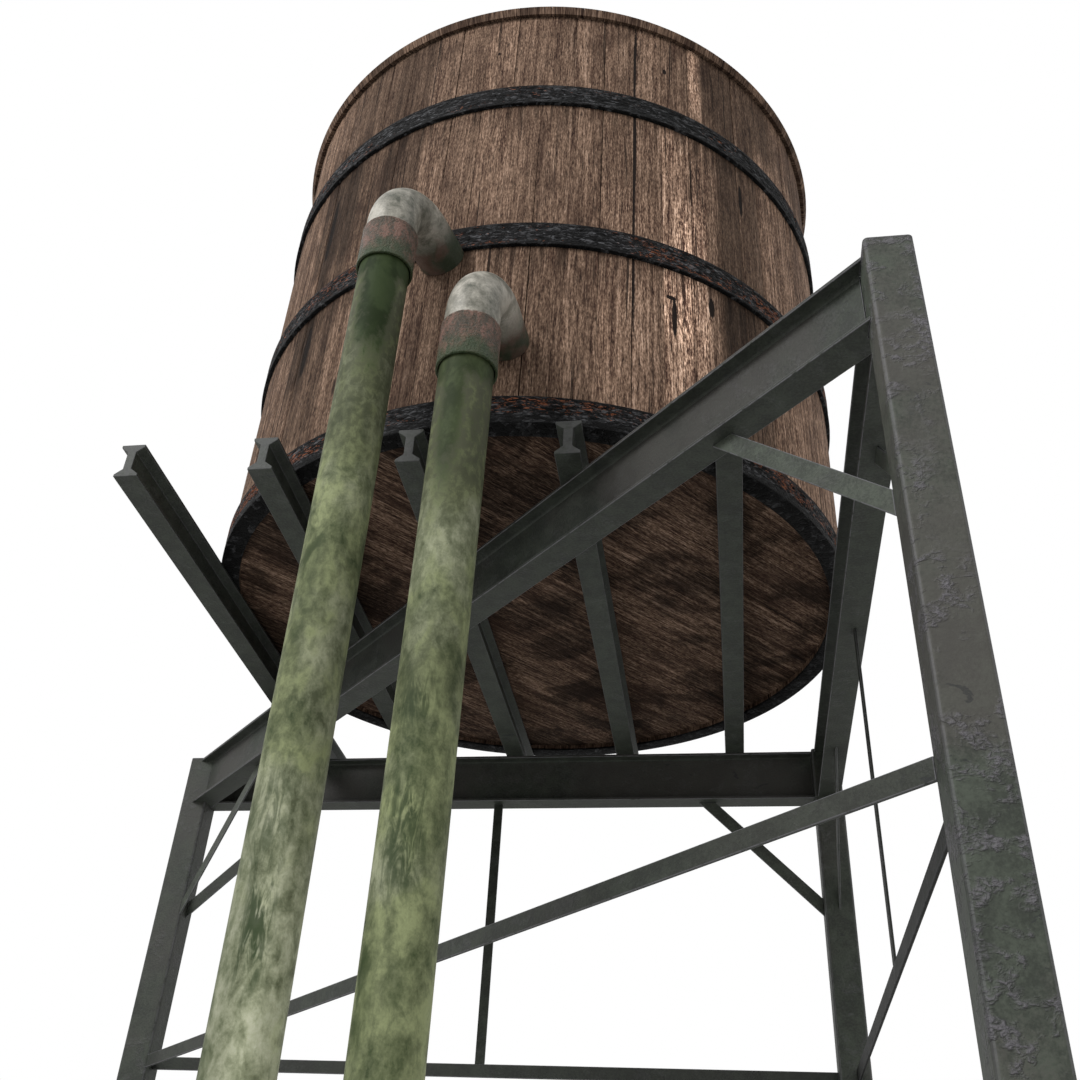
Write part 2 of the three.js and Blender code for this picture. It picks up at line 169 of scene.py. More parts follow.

# Bleached staves, and soaked ones with a negative weight, with painted light across staves 9 to 15 and
# painted shade across staves 54 to 59: first and last stave, lower and upper height
STAVE_TONES = [
    (3.0, 5.0, 5.1, 7.1, 0.30),
    (4.0, 5.0, 7.3, 8.9, 0.24),
    (5.0, 6.0, 6.05, 6.60, 1.25),
    (6.0, 6.5, 6.05, 6.60, 0.45),
    (5.5, 6.5, 6.65, 7.20, 0.70),
    (5.0, 6.0, 7.0, 7.9, 0.20),
    (5.0, 6.0, 6.9, 7.95, 0.75),
    (5.0, 6.0, 5.3, 6.9, 1.05),
    (5.5, 6.0, 5.4, 7.0, 0.95),
    (6.05, 6.5, 8.05, 8.9, 1.35),
    (6.05, 6.5, 6.9, 7.6, 0.55),
    (6.05, 6.5, 5.6, 6.9, 1.75),
    (6.5, 7.0, 8.05, 8.9, -0.40),
    (6.5, 7.0, 6.0, 7.5, 0.28),
    (7.0, 9.0, 5.1, 8.9, -0.34),
    (7.0, 8.5, 6.05, 6.60, -0.28),
    (9.0, 10.2, 8.1, 8.9, -0.36),
    (10.4, 12.0, 8.1, 8.9, 0.26),
    (9.0, 15.0, 5.1, 8.1, 0.52),
    (54.4, 55.0, 5.95, 6.70, -0.62),
    (54.4, 55.0, 6.9, 7.8, -0.22),
    (54.5, 57.5, 6.9, 8.9, -0.28),
    (55.0, 56.5, 5.5, 8.0, -0.34),
    (55.0, 55.5, 5.95, 6.90, -0.36),
    (57.5, 58.0, 5.1, 6.9, -0.30),
    (57.5, 59.0, 6.9, 8.9, -0.44),
    (58.9, 59.4, 6.65, 7.0, 0.50),
]

# Knots and cracks: the stave, place across and up in metres, half width and half length
STAVE_MARKS = [
    (5, -0.030, 6.17, 0.015, 0.160),
    (5, -0.050, 6.31, 0.032, 0.016),
    (6, 0.016, 6.36, 0.022, 0.080),
    (5, -0.071, 8.34, 0.012, 0.028),
    (8, -0.070, 7.46, 0.015, 0.150),
    (61, -0.021, 8.34, 0.008, 0.016),
    (55, -0.050, 7.28, 0.026, 0.30),
    (55, -0.030, 6.25, 0.030, 0.20),
    (4, -0.086, 7.40, 0.015, 1.500),
]


def count_field(name, description, default):
    return bpy.props.IntProperty(name=name, description=description, default=default, min=12)


def length_field(name, description, default):
    return bpy.props.FloatProperty(name=name, description=description, default=default,
                                   subtype="DISTANCE", unit="LENGTH")


def heading_field(name, description, degrees):
    return bpy.props.FloatProperty(name=name, description=description, default=math.radians(degrees),
                                   subtype="ANGLE", unit="ROTATION")


def colour_field(name, description, default):
    return bpy.props.FloatVectorProperty(name=name, description=description, default=default,
                                         subtype="COLOR", size=3)


class TowerSizes(bpy.types.PropertyGroup):
    """Sizes of the pieces that dress the tower."""

    stave_count: count_field("Staves", "Upright boards round the tank", 62)
    stave_thickness: length_field("Stave thickness", "Board thickness from outside to inside", 0.083)
    stave_joint: length_field("Stave joint", "Width of the open joint between two staves", 0.0018)
    board_width: length_field("Bottom board width", "Width of one board of the tank bottom", 0.24)
    board_heading: heading_field("Bottom board heading", "Heading from the back beam", 48)
    roof_count: count_field("Roof boards", "Tapered boards round the roof", 56)
    roof_inner: length_field("Roof inner radius", "Radius at which the roof's inside cone starts", 1.724)
    roof_slope: bpy.props.FloatProperty(
        name="Roof slope", description="Rise of the roof over its run", default=0.44523)
    roof_thickness: length_field("Roof board thickness", "Thickness, square to the roof's slope", 0.053)
    roof_joint: length_field("Roof joint", "Width of the open joint between two roof boards", 0.0012)
    seat_gap: length_field("Roof seat gap", "Gap between the wall's top and the roof", 0.0003)
    cap_radius: length_field("Cap radius", "Radius of the round board at the peak", 0.17)
    collar_length: length_field("Collar length", "Length of the elbow's collar", 0.26)
    collar_radius: length_field("Collar radius", "Outer radius of the elbow's collar", 0.137)
    elbow_radius: length_field("Elbow radius", "Outer radius of the elbow past its collar", 0.126)
    elbow_rise: length_field("Elbow rise", "Straight run between the collar and the bend", 0.058)
    bend_left: length_field("Left bend", "Bend radius of the left elbow", 0.306)
    bend_right: length_field("Right bend", "Bend radius of the right elbow", 0.362)
    heading_left: heading_field("Left heading", "Heading of the left elbow's arm", 76)
    heading_right: heading_field("Right heading", "Heading of the right elbow's arm", 86)
    edge_round: length_field("Steel edge", "Rounding of the edges of the rolled steel", 0.0035)
    hoop_relief: length_field("Hoop relief", "Depth of the rough coating on the hoops", 0.005)


class TowerColours(bpy.types.PropertyGroup):
    """Main colours of the tower's finishes."""

    timber: colour_field("Timber", "Weathered board colour", (0.118, 0.076, 0.052))
    paint: colour_field("Frame paint", "Old grey-green frame paint", (0.0205, 0.0245, 0.0185))
    algae: colour_field("Algae", "Green growth on the pipes", (0.104, 0.120, 0.060))
    hoop: colour_field("Hoop", "Black hoop coating", (0.0088, 0.0089, 0.0094))


def sum_of(operation, swapped=False):
    """A method that adds one Math node; swapped puts the value itself last, as 1 - mask needs."""
    def method(self, *others):
        values = (*others, self) if swapped else (self, *others)
        return self.bench.node("ShaderNodeMath", {"operation": operation}, dict(enumerate(values)))[0]
    return method


class Flow:
    """One value of a node tree, so that sums on it read as plain expressions."""

    def __init__(self, bench, socket):
        self.bench = bench
        self.socket = socket

    __add__, __radd__ = sum_of("ADD"), sum_of("ADD", swapped=True)
    __sub__, __rsub__ = sum_of("SUBTRACT"), sum_of("SUBTRACT", swapped=True)
    __mul__, __rmul__ = sum_of("MULTIPLY"), sum_of("MULTIPLY", swapped=True)
    __truediv__, __rtruediv__ = sum_of("DIVIDE"), sum_of("DIVIDE", swapped=True)
    __pow__, __rpow__ = sum_of("POWER"), sum_of("POWER", swapped=True)
    cosine, sine, absolute = sum_of("COSINE"), sum_of("SINE"), sum_of("ABSOLUTE")
    at_most, at_least, over = sum_of("MINIMUM"), sum_of("MAXIMUM"), sum_of("GREATER_THAN")

    def within(self, low, high, ease):
        """1 between low and high, eased over the same width on each side of both."""
        return self.rise(low - ease, low + ease) * self.rise(high + ease, high - ease)

    def rise(self, low, high):
        """0 below low and 1 above high, eased between them; falls instead when high is the lower."""
        return self.bench.node(
            "ShaderNodeMapRange", {"interpolation_type": "SMOOTHSTEP", "clamp": True},
            {"Value": self, "From Min": low, "From Max": high})["Result"]


class Made:
    """The outputs of a node that was just made."""

    def __init__(self, bench, node):
        self.bench = bench
        self.node = node

    def __getitem__(self, key):
        return Flow(self.bench, find_socket(self.node.outputs, key))


def find_socket(sockets, key):
    """A socket by its number, or one in use by its identifier or name."""
    if isinstance(key, int):
        return sockets[key]
    used = [socket for socket in sockets if socket.enabled]
    for socket in used:
        if socket.identifier == key:
            return socket
    return next(socket for socket in used if socket.name == key)


class Bench:
    """Makes and joins the nodes of one tree."""

    def __init__(self, tree):
        self.tree = tree

    def node(self, kind, settings=None, inputs=None):
        node = self.tree.nodes.new(kind)
        for name, value in (settings or {}).items():
            if name == "stops":
                self._set_stops(node.color_ramp, value)
            else:
                setattr(node, name, value)
        for key, value in (inputs or {}).items():
            socket = find_socket(node.inputs, key)
            if isinstance(value, Flow):
                self.tree.links.new(value.socket, socket)
            else:
                socket.default_value = value
        return Made(self, node)

    def parts(self, vector):
        split = self.node("ShaderNodeSeparateXYZ", None, {0: vector})
        return split["X"], split["Y"], split["Z"]

    def join(self, x, y, z):
        return self.node("ShaderNodeCombineXYZ", None, {"X": x, "Y": y, "Z": z})["Vector"]

    @staticmethod
    def _set_stops(ramp, stops):
        while len(ramp.elements) < len(stops):
            ramp.elements.new(0.5)
        for element, (place, colour) in zip(ramp.elements, stops):
            element.position = place
            element.color = (*colour, 1.0)


class Finish(Bench):
    """A procedural material, painted layer over layer; colour is the one so far."""

    def __init__(self, name, colour=None):
        self.colour = colour
        self.material = bpy.data.materials.new(name)
        self.material.use_nodes = True
        super().__init__(self.material.node_tree)
        self.tree.nodes.clear()

    def place(self):
        return self.node("ShaderNodeTexCoord")["Object"]

    def attribute(self, name, output="Fac"):
        return self.node("ShaderNodeAttribute", {"attribute_name": name})[output]

    def stretch(self, vector, scale):
        return self.node("ShaderNodeMapping", None, {"Vector": vector, "Scale": scale})["Vector"]

    def grain(self, vector, scale, detail, roughness=0.55, distortion=0.0):
        return self.node("ShaderNodeTexNoise", None, {
            "Vector": vector, "Scale": scale, "Detail": detail, "Roughness": roughness,
            "Distortion": distortion})["Fac"]

    def figure(self, x, y, z, *settings):
        """Grain over a place whose three parts come scaled; the settings start with its detail."""
        return self.grain(self.join(x, y, z), 1.0, *settings)

    def cells(self, vector, feature="F1", output="Distance"):
        made = self.node("ShaderNodeTexVoronoi", {"feature": feature}, {"Vector": vector, "Scale": 1.0})
        return made[output]

    def ramp(self, value, stops):
        return self.node("ShaderNodeValToRGB", {"stops": stops}, {"Fac": value})["Color"]

    def blend(self, factor, under, over):
        inputs = {"Factor_Float": factor, "A_Color": self._paint(under), "B_Color": self._paint(over)}
        return self.node("ShaderNodeMix", {"data_type": "RGBA"}, inputs)["Result_Color"]

    @staticmethod
    def _paint(colour):
        return colour if isinstance(colour, Flow) else (*colour, 1.0)

    def lay(self, factor, colour):
        """Lays a layer over the colour so far."""
        self.colour = self.blend(factor, self.colour, colour)

    def dim(self, value):
        """Multiplies the colour so far by a plain value."""
        grey = self.join(value, value, value)
        self.colour = self.node("ShaderNodeVectorMath", {"operation": "MULTIPLY"},
                                {0: self.colour, 1: grey})["Vector"]

    def bump(self, height, distance, strength):
        inputs = {"Height": height, "Distance": distance, "Strength": strength}
        return self.node("ShaderNodeBump", None, inputs)["Normal"]

    def close(self, roughness, normal=None, specular=0.5):
        inputs = {"Base Color": self.colour, "Roughness": roughness, "Specular IOR Level": specular}
        if normal:
            inputs["Normal"] = normal
        surface = self.node("ShaderNodeBsdfPrincipled", None, inputs)["BSDF"]
        self.node("ShaderNodeOutputMaterial", None, {"Surface": surface})
        return self.material


def tinted(colour, *factors):
    """A colour times one factor, or times one for each of its three parts."""
    return tuple(part * factor for part, factor in zip(colour, factors * 3))


def sizes():
    return bpy.context.scene.tower_sizes


def colours():
    return bpy.context.scene.tower_colours


# Finishes

def timber_finish(name, tone, damp=0.0, drips=(), marks=()):
    """Weathered softwood; the grain attribute holds metres across and along a board, and its own number.

    Dark runs hang down from the heights in drips. Each mark is a dark knot or crack: its board, place
    across and along it, half width and half length.
    """
    coat = Finish(name)
    across, along, own = coat.parts(coat.attribute("grain", "Vector"))
    board = coat.attribute("tone")
    wander = coat.figure(across * 4.0, along * 0.8, own, 2.0)
    knot = coat.cells(coat.join(across * 3.4 + own * 0.7, along * 0.55 + own * 0.37, own))
    bent = across + (wander - 0.5) * 0.04 + knot.rise(0.16, 0.0) * 0.012
    streak = coat.figure(bent * 46.0, along * 0.9, own, 3.0, 0.6)
    fibre = coat.figure(bent * 135.0, along * 8.0, own, 3.0, 0.7)
    fleck = coat.figure(bent * 150.0, along * 36.0, own, 2.0, 0.6)
    cloud = coat.figure(across * 5.0, along * 1.6, own * 1.7, 4.0, 0.65, 0.4)
    swell = coat.figure(across * 9.0, along * 0.55, own * 2.3, 2.0)
    mixed = streak * 0.29 + fibre * 0.37 + fleck * 0.34
    wood = (mixed - 0.5) * (0.70 + damp * 0.35 + board * 0.45) + 0.5
    coat.colour = coat.ramp(wood, [
        (0.35, tinted(tone, 0.13, 0.10, 0.11)), (0.44, tinted(tone, 0.54, 0.49, 0.50)), (0.51, tone),
        (0.58, tinted(tone, 1.78, 1.80, 1.86)), (0.68, tinted(tone, 2.9, 3.15, 3.45))])
    blot = cloud.rise(0.50 - 0.08 * damp, 0.66)
    coat.lay(blot * (0.55 + 0.2 * damp), tinted(tone, 0.25, 0.21, 0.22))
    if damp:
        pool = coat.grain(coat.place(), 2.2, 3.0, 0.62, 0.6).rise(0.46, 0.60)
        coat.dim(1.0 - pool * (0.62 * damp))
    for low in drips:
        reach = along.rise(low - 0.30, low) * along.rise(low + 0.02, low)
        run = coat.figure(across * 30.0, along * 0.7, own + 5.0, 2.0).rise(0.42, 0.62)
        coat.lay(reach * run * 0.6, tinted(tone, 0.13))
    coat.dim(board * (0.72 + swell * 0.56))
    gate = coat.figure(across * 7.0, along * 0.5, own + 9.0, 1.0).rise(0.42, 0.6)
    split = coat.figure(bent * 66.0, along, own + 7.0, 1.0).rise(0.66, 0.71) * gate
    pore = coat.figure(bent * 125.0, along * 11.0, own + 3.0, 2.0, 0.6).rise(0.62, 0.69)
    open_wood = (split + knot.rise(0.055, 0.03) + pore * 0.7).at_most(1.0)
    for number, side, height, wide, tall in marks:
        x, z = (bent - side) * (1.0 / wide), (along - height) * (1.0 / tall)
        here = (own - number * OWN_STEP).absolute().rise(0.5, 0.4)
        spot = (x * x + z * z + (fleck - 0.5) * 0.6).rise(1.1, 0.6) * here
        open_wood = open_wood.at_least(spot)
        coat.dim(1.0 - spot * 0.92)
    coat.lay(open_wood * 0.88, (0.010, 0.007, 0.006))
    return coat.close(0.85, coat.bump(mixed * 0.9 - open_wood * 0.6, 0.012, 0.9), specular=0.07)


def hoop_finish():
    """Black coating cracked into flat plates, with painted highlights on its ridges and painted shade in
    its pits and cracks; the ridge and rust attributes come with the mesh.
    """
    coat = Finish("hoop_black")
    x, y, z = coat.parts(coat.place())
    sway = coat.figure(x * 9.0, y * 9.0, z * 14.0, 3.0, 0.6)
    swayed = coat.join(x * 24.0 + sway * 2.4, y * 24.0 - sway * 2.4, z * 88.0 + sway * 5.0)
    crack = coat.cells(swayed, "DISTANCE_TO_EDGE").rise(0.13, 0.02)
    plate, plate_rust, _ = coat.parts(coat.cells(swayed, "F1", "Color"))
    ridge = coat.attribute("ridge")
    fine = coat.figure(x * 40.0, y * 40.0, z * 150.0, 4.0, 0.62, 0.8)
    patch = coat.figure(x * 1.6, y * 1.6, z * 6.0, 2.0)
    tone = colours().hoop
    # Painted highlights on the ridges and painted shade in the pits: the ridge mark and the fine strokes
    # lift the colour towards grey-blue, and the hollows go near black
    mix = (plate * 0.24 + fine * 0.50 + ridge * 0.26 - 0.5) * 1.25 + 0.495
    coat.colour = coat.ramp(mix, [
        (0.37, tinted(tone, 0.25)), (0.49, tone), (0.57, tinted(tone, 3.4)), (0.67, tinted(tone, 8.0))])
    rusty = coat.attribute("rust")
    rust = (plate_rust * 0.16 + fine * 0.84 + (patch - 0.5) * 0.7 + rusty).rise(0.64, 0.71)
    warm = coat.blend(fine.rise(0.44, 0.64), (0.045, 0.018, 0.011), (0.230, 0.078, 0.036))
    coat.lay(rust * 0.9, warm)
    # Painted shade in the cracks between the plates
    coat.lay(crack * 0.85 * ridge.rise(0.25, 0.45), (0.0020, 0.0020, 0.0022))
    return coat.close(0.7, coat.bump(fine * 0.5 + ridge * 0.2 - crack * 0.6, 0.007, 1.0), specular=0.10)


def frame_finish(name, blister=0.12, tone=1.0, brown=0.2, wear=0.75, specular=0.30):
    """Old grey-green paint: brown film on upright faces, pits, scuffs, worn edges and raised blisters, with
    painted highlights and painted shade.
    """
    coat = Finish(name)
    place = coat.place()
    cloud = coat.grain(place, 1.3, 3.0)
    mottle = coat.grain(place, 11.0, 5.0, 0.62)
    pits = coat.grain(place, 85.0, 3.0, 0.6)
    # Tone scales the paint for each member: painted light and shade
    paint = tinted(colours().paint, tone)
    shade = mottle * 0.6 + pits * 0.4
    coat.colour = coat.blend(shade.rise(0.38, 0.64), tinted(paint, 0.66), tinted(paint, 1.42))
    upright = coat.attribute("upright")
    film = (cloud * 0.8 + pits * 0.2).rise(0.42, 0.57) * (0.15 + upright * 0.85) * brown
    coat.lay(film, tinted((0.0345, 0.0308, 0.0282), tone))
    scuff = coat.grain(coat.stretch(place, (9.0, 9.0, 16.0)), 1.0, 5.0, 0.72, 1.0).rise(0.63, 0.67)
    coat.lay(scuff * 0.55, (0.008, 0.009, 0.012))
    patches = coat.grain(coat.stretch(place, (1.0, 1.0, 0.8)), 2.9, 1.0).rise(0.34, 0.54)
    island = coat.grain(coat.stretch(place, (1.0, 1.0, 1.3)), 9.5, 4.0, 0.62, 0.3).rise(0.49, 0.60)
    crumple = coat.grain(coat.stretch(place, (1.0, 1.0, 1.4)), 50.0, 3.0, 0.55, 0.8)
    raised = patches * island * blister
    # Raised blisters are a little lighter, with painted highlights on their ridges
    crest = raised * (0.20 + crumple.rise(0.44, 0.58) * 0.80)
    coat.lay(crest * 0.80, (0.112, 0.106, 0.118))
    chip = coat.grain(place, 26.0, 4.0, 0.6)
    # Lighter worn paint on the marked edges; on a leg's rounded corners it is also painted highlight, and
    # on a joist's front faces painted light
    worn = coat.attribute("edge") * chip.rise(0.28, 0.50)
    coat.lay(worn * wear, (0.105, 0.102, 0.112))
    _, _, z = coat.parts(place)
    # Painted shade on the side of a leg that faces -x, fading out between 3.6 and 4.5 m
    coat.dim(1.0 - coat.attribute("lee") * z.rise(4.5, 3.6) * 0.36)
    height = raised * (crumple * 1.4 - 0.4) + mottle * 0.07 + pits * 0.10
    return coat.close(0.52 + mottle * 0.22, coat.bump(height, 0.020, 0.9), specular=specular)


def pipe_finish(side, mouth):
    """Weathered pipe under algae; mouth is the height at which it goes into its elbow.

    The wrap attribute holds metres round and up, and a number of its own.
    """
    coat = Finish("pipe_" + side + "_algae")
    arc, up, own = coat.parts(coat.attribute("wrap", "Vector"))
    flow = coat.join(arc, up * 0.62, own)
    cloud = coat.grain(flow, 3.6, 3.0, 0.55, 0.4)
    wash = coat.grain(flow, 9.0, 4.0, 0.55, 0.5)
    mottle = coat.grain(flow, 32.0, 4.0, 0.6, 0.4)
    speck = coat.grain(coat.join(arc, up * 0.8, own), 120.0, 3.0, 0.6)
    wisp = coat.figure(arc * 27.0, up * 5.6, own, 3.0, 0.6, 1.6)
    grown = (cloud - 0.5) * 1.1 + (wash - 0.5) * 0.7
    for low, high, weight in GREEN_ZONES[side]:
        grown = grown + up.within(low, high, 0.15) * weight
    worn = (wash * 0.56 + mottle * 0.32 + speck * 0.12 - 0.5) * 1.08 + 0.5
    coat.colour = coat.ramp(worn, [
        (0.36, (0.070, 0.079, 0.045)), (0.46, (0.152, 0.165, 0.104)), (0.54, (0.240, 0.252, 0.172)),
        (0.64, (0.35, 0.355, 0.265))])
    algae = colours().algae
    deep = tinted(algae, 0.30, 0.38, 0.30)
    moss = coat.ramp(worn, [(0.36, deep), (0.49, algae), (0.62, (0.205, 0.232, 0.112))])
    coat.lay(grown.rise(-0.16, 0.22) * 0.92, moss)
    # Dark green bands; the ones that start at 1.4 m are painted shade down the left side
    for low, high, place, width, weight in DARK_BANDS[side]:
        strayed = arc - place + (cloud - 0.5) * 0.08 + (wash - 0.5) * 0.08
        ragged = strayed.absolute().rise(width, width * 0.3)
        run = (up + (wash - 0.5) * 0.4).within(low, high, 0.12)
        coat.lay(ragged * run * (0.45 + wash.rise(0.60, 0.42) * 0.55) * weight, deep)
    for low, high, place, width, weight in WISPS[side]:
        reach = up.within(low, high, 0.10)
        near = (arc - place).absolute().rise(width, width * 0.2)
        stroke = (wisp + near * reach * 0.12).rise(0.48, 0.70)
        coat.lay(stroke * reach * near * weight, (0.022, 0.036, 0.015))
    # Darker zones up the pipe
    for low, high, weight in DARKER_ZONES[side]:
        darkening = (up + (cloud - 0.5) * 0.4).within(low, high, 0.20) * (0.75 + mottle.rise(0.60, 0.42) * 0.25)
        coat.lay(darkening * weight, (0.046, 0.050, 0.029))
    lit = arc.rise(0.03, -0.06) * up.rise(3.5, 2.4)
    coat.dim(lit * SUNLIT[side] + 0.96)

    # The dark streak that hangs down from the elbow's mouth, with painted shade all round the pipe just
    # under the collar
    place, half, weight = MOUTH_SHADE[side]
    depth = up + (cloud - 0.5) * 0.5
    core = (arc - place).absolute().rise(half + 0.07, half - 0.04)
    cover = (depth.rise(mouth - 0.95, mouth - 0.25) * core).at_least(up.rise(mouth - 0.20, mouth - 0.03))
    dark = (cover + (wash - 0.5) * 0.9 + (mottle - 0.5) * 1.1).rise(0.14, 0.80)
    wet = coat.blend(wash.rise(0.42, 0.60), (0.010, 0.018, 0.005), (0.021, 0.033, 0.012))
    coat.lay(dark * weight, wet)
    film = depth.rise(mouth - 0.85, mouth - 0.30) * mottle.rise(0.58, 0.44) * (1.0 - dark)
    coat.lay(film * 0.6, (0.060, 0.062, 0.042))
    return coat.close(0.6, coat.bump(wash * 0.4 + mottle * 0.4 + speck * 0.2, 0.003, 0.6), specular=0.06)


def elbow_finish(name, collar_low, collar_high):
    """Pale grey elbow with a rust-brown collar that turns green at its mouth."""
    coat = Finish(name)
    place = coat.place()
    _, _, z = coat.parts(place)
    cloud = coat.grain(place, 5.0, 4.0, 0.55, 0.3)
    mottle = coat.grain(coat.stretch(place, (1.0, 1.0, 0.6)), 19.0, 4.0, 0.6, 0.3)
    speck = coat.grain(place, 88.0, 3.0, 0.6)
    marbled = mottle * 0.42 + cloud * 0.43 + speck * 0.15
    coat.colour = coat.ramp(marbled, [
        (0.38, (0.050, 0.052, 0.038)), (0.45, (0.128, 0.123, 0.100)), (0.52, (0.215, 0.204, 0.172)),
        (0.60, (0.35, 0.33, 0.285))])
    edge = z + (mottle - 0.5) * 0.06
    rust = edge.rise(collar_high + 0.004, collar_high - 0.014)
    brown = coat.ramp(mottle * 0.6 + speck * 0.4, [
        (0.38, (0.022, 0.021, 0.012)), (0.48, (0.058, 0.036, 0.022)), (0.58, (0.140, 0.066, 0.046))])
    coat.lay(rust * 0.95, brown)
    green = (z + (cloud - 0.5) * 0.26 + (mottle - 0.5) * 0.10).rise(collar_low + 0.15, collar_low + 0.02)
    coat.lay(green * 0.88, (0.018, 0.036, 0.010))
    tide = (coat.attribute("arm") + (mottle - 0.5) * 0.8 + (cloud - 0.5) * 0.6).rise(0.10, 0.55)
    lichen = coat.blend(cloud.rise(0.44, 0.56), (0.014, 0.022, 0.010), (0.056, 0.028, 0.019))
    coat.lay(tide * 0.90, lichen)
    height = speck * (0.12 + coat.attribute("collar") * 1.2) + mottle * 0.3
    return coat.close(0.48, coat.bump(height, 0.012, 1.0), specular=0.28)


# Mesh work

def put_in(name, data):
    """A new object in the scene, for a mesh, a lamp or a camera."""
    item = bpy.data.objects.new(name, data)
    bpy.context.scene.collection.objects.link(item)
    return item


def new_piece(name, mesh, material, slot, *nodes):
    """Turns a finished mesh into a piece that stands for the named nodes."""
    piece = put_in(name, mesh)
    mesh.materials.clear()
    mesh.materials.append(material)
    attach(piece, BODY)
    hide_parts(*nodes)
    return piece


def smooth_by_angle(mesh, degrees):
    mesh.shade_smooth()
    mesh.set_sharp_from_angle(angle=math.radians(degrees))


def run_tree(name, tree, values):
    """Evaluates a geometry tree on an empty mesh and returns the plain mesh that it makes."""
    holder = put_in(name + "_maker", bpy.data.meshes.new(name + "_maker"))
    modifier = holder.modifiers.new("maker", "NODES")
    modifier.node_group = tree
    for item in tree.interface.items_tree:
        if item.in_out == "INPUT" and item.name in values:
            modifier[item.identifier] = values[item.name]
    graph = bpy.context.evaluated_depsgraph_get()
    mesh = bpy.data.meshes.new_from_object(holder.evaluated_get(graph), preserve_all_data_layers=True,
                                           depsgraph=graph)
    mesh.name = name
    holder.modifiers.remove(modifier)
    bpy.data.objects.remove(holder)
    return mesh


def lay_boards(name, tree, material, slot, node, values):
    """Runs a tree that lays boards round the tank's axis and makes a piece of the result."""
    mesh = run_tree(name, tree, {**values, "Centre X": TANK.x, "Centre Y": TANK.y, "Finish": material})
    smooth_by_angle(mesh, 45)
    new_piece(name, mesh, material, slot, node)


class BoardBench(Bench):
    """The shared part of the trees that lay boards: numbered copies of one gridded board.

    The labels name the tree's sizes, and the grid counts a board's points across, through and along it.
    """

    def __init__(self, name, labels, grid):
        super().__init__(bpy.data.node_groups.new(name, "GeometryNodeTree"))
        lengths = [(label, "Float") for label in (*labels, "Centre X", "Centre Y")]
        for label, kind in [("Count", "Int"), *lengths, ("Finish", "Material")]:
            self.tree.interface.new_socket(label, in_out="INPUT", socket_type="NodeSocket" + kind)
        self.tree.interface.new_socket("Geometry", in_out="OUTPUT", socket_type="NodeSocketGeometry")
        self.given = self.node("NodeGroupInput")
        line = self.node("GeometryNodeMeshLine", None, {"Count": self.given["Count"]})["Mesh"]
        board = self.node("GeometryNodeMeshCube", None, {
            "Size": (1, 1, 1), "Vertices X": grid[0], "Vertices Y": grid[1], "Vertices Z": grid[2]})["Mesh"]
        spot = self.store(board, "FLOAT_VECTOR", "spot", self.node("GeometryNodeInputPosition")["Position"])
        tagged = self.store(line, "FLOAT", "number", self.node("GeometryNodeInputIndex")["Index"])
        many = self.node("GeometryNodeInstanceOnPoints", None, {"Points": tagged, "Instance": spot})
        real = self.node("GeometryNodeRealizeInstances", None, {"Geometry": many["Instances"]})
        self.solid = real["Geometry"]
        self.own = self.stored("FLOAT", "number")
        self.across, self.deep, self.up = self.parts(self.stored("FLOAT_VECTOR", "spot"))

    def store(self, geometry, kind, name, value):
        return self.node("GeometryNodeStoreNamedAttribute", {"data_type": kind, "domain": "POINT"},
                         {"Geometry": geometry, "Name": name, "Value": value})["Geometry"]

    def stored(self, kind, name):
        found = self.node("GeometryNodeInputNamedAttribute", {"data_type": kind}, {"Name": name})
        return found["Attribute"]

    def chance(self, what):
        low, high, seed = CHANCES[what]
        return self.node("FunctionNodeRandomValue", {"data_type": "FLOAT"},
                         {"Min": low, "Max": high, "ID": self.own, "Seed": seed})["Value"]

    def on_axis(self, x, y, z):
        """A place given from the tank's axis."""
        return self.join(self.given["Centre X"] + x, self.given["Centre Y"] + y, z)

    def finish(self, place, grain, tone):
        """Puts the boards in place and hands them their grain, tone and finish."""
        moved = self.node("GeometryNodeSetPosition", None, {"Geometry": self.solid, "Position": place})
        grained = self.store(moved["Geometry"], "FLOAT_VECTOR", "grain", grain)
        toned = self.store(grained, "FLOAT", "tone", tone)
        dressed = self.node("GeometryNodeSetMaterial", None,
                            {"Geometry": toned, "Material": self.given["Finish"]})["Geometry"]
        self.node("NodeGroupOutput", None, {"Geometry": dressed})
        return self.tree


def stave_tree():
    """Upright boards bent round the tank, with open joints and slightly uneven faces."""
    work = BoardBench("stave_ring", ("Radius", "Thickness", "Low", "High", "Joint"), (9, 3, 36))
    given, own, up = work.given, work.own, work.up
    step = (2 * math.pi) / given["Count"]
    gap = given["Joint"] / given["Radius"]
    side = work.across * 2.0
    edge = side.absolute().rise(0.88, 1.0)
    inside = work.deep + 0.5
    outside = 1.0 - inside
    turn = own + 0.5 + work.across
    drift = (up * 3.1 + own * 2.3).sine() * 0.0012
    angle = turn * step - side * gap * 0.5 + drift - math.pi / 2
    radius = given["Radius"] - inside * given["Thickness"] - edge * outside * EDGE_SINK \
        - work.chance("stave sink") * outside
    z = given["Low"] + (up + 0.5) * (given["High"] - given["Low"])
    place = work.on_axis(radius * angle.cosine(), radius * angle.sine(), z)
    grain = work.join(work.across * step * given["Radius"], z, own * OWN_STEP)
    return work.finish(place, grain, stave_tone(work, turn, z))


def stave_tone(work, turn, z):
    """How bright each stave is, painted light and shade on the tank's sides included; turn counts staves
    round the tank.
    """
    side_ease, end_ease = 0.04, 0.12
    tone = work.chance("stave tone")
    for first, last, low, high, weight in STAVE_TONES:
        tone = tone + turn.within(first, last, side_ease) * z.within(low, high, end_ease) * weight
    return tone


